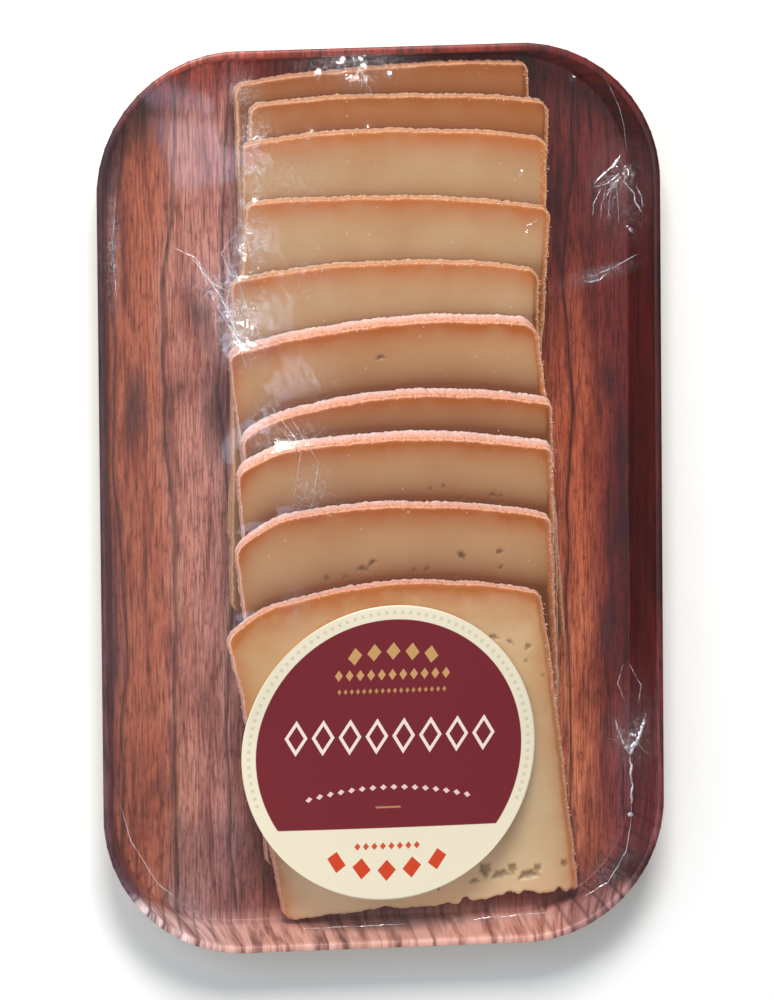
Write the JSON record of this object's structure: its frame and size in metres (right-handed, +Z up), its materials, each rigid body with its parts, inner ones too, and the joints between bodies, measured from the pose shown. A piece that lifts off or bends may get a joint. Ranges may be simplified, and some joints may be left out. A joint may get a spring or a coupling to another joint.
{
  "type": "film-wrapped tray pack of sliced raclette cheese",
  "caption": "Shallow rounded paperboard tray of shingled raclette cheese slices with rind, sealed under a clear stretched film that carries a round plain label.",
  "frame": {"origin": "on the table, under the middle of the tray", "axes": "+Z up; +Y along the tray towards the heel of the rearmost slice, which is the top of the picture; +X across the tray, to the right in the picture"},
  "size_m": [0.135, 0.216, 0.0387],
  "materials": {
    "tray_board": "pressed board printed with a wood-plank pattern, satin",
    "cheese": "smooth cut semi-hard smoked cheese, slightly oily, with a thin orange-brown rind",
    "clear_film": "clear glossy stretched film with crinkles",
    "label_paper": "coated label paper, burgundy and cream"
  },
  "bodies": {
    "root": {"tray": "tray_board", "slice_01": "cheese", "slice_02": "cheese", "slice_03": "cheese", "slice_04": "cheese", "slice_05": "cheese", "slice_06": "cheese", "slice_07": "cheese", "slice_08": "cheese", "slice_09": "cheese", "slice_10": "cheese", "film": "clear_film", "label": "label_paper"}
  },
  "joints": []
}
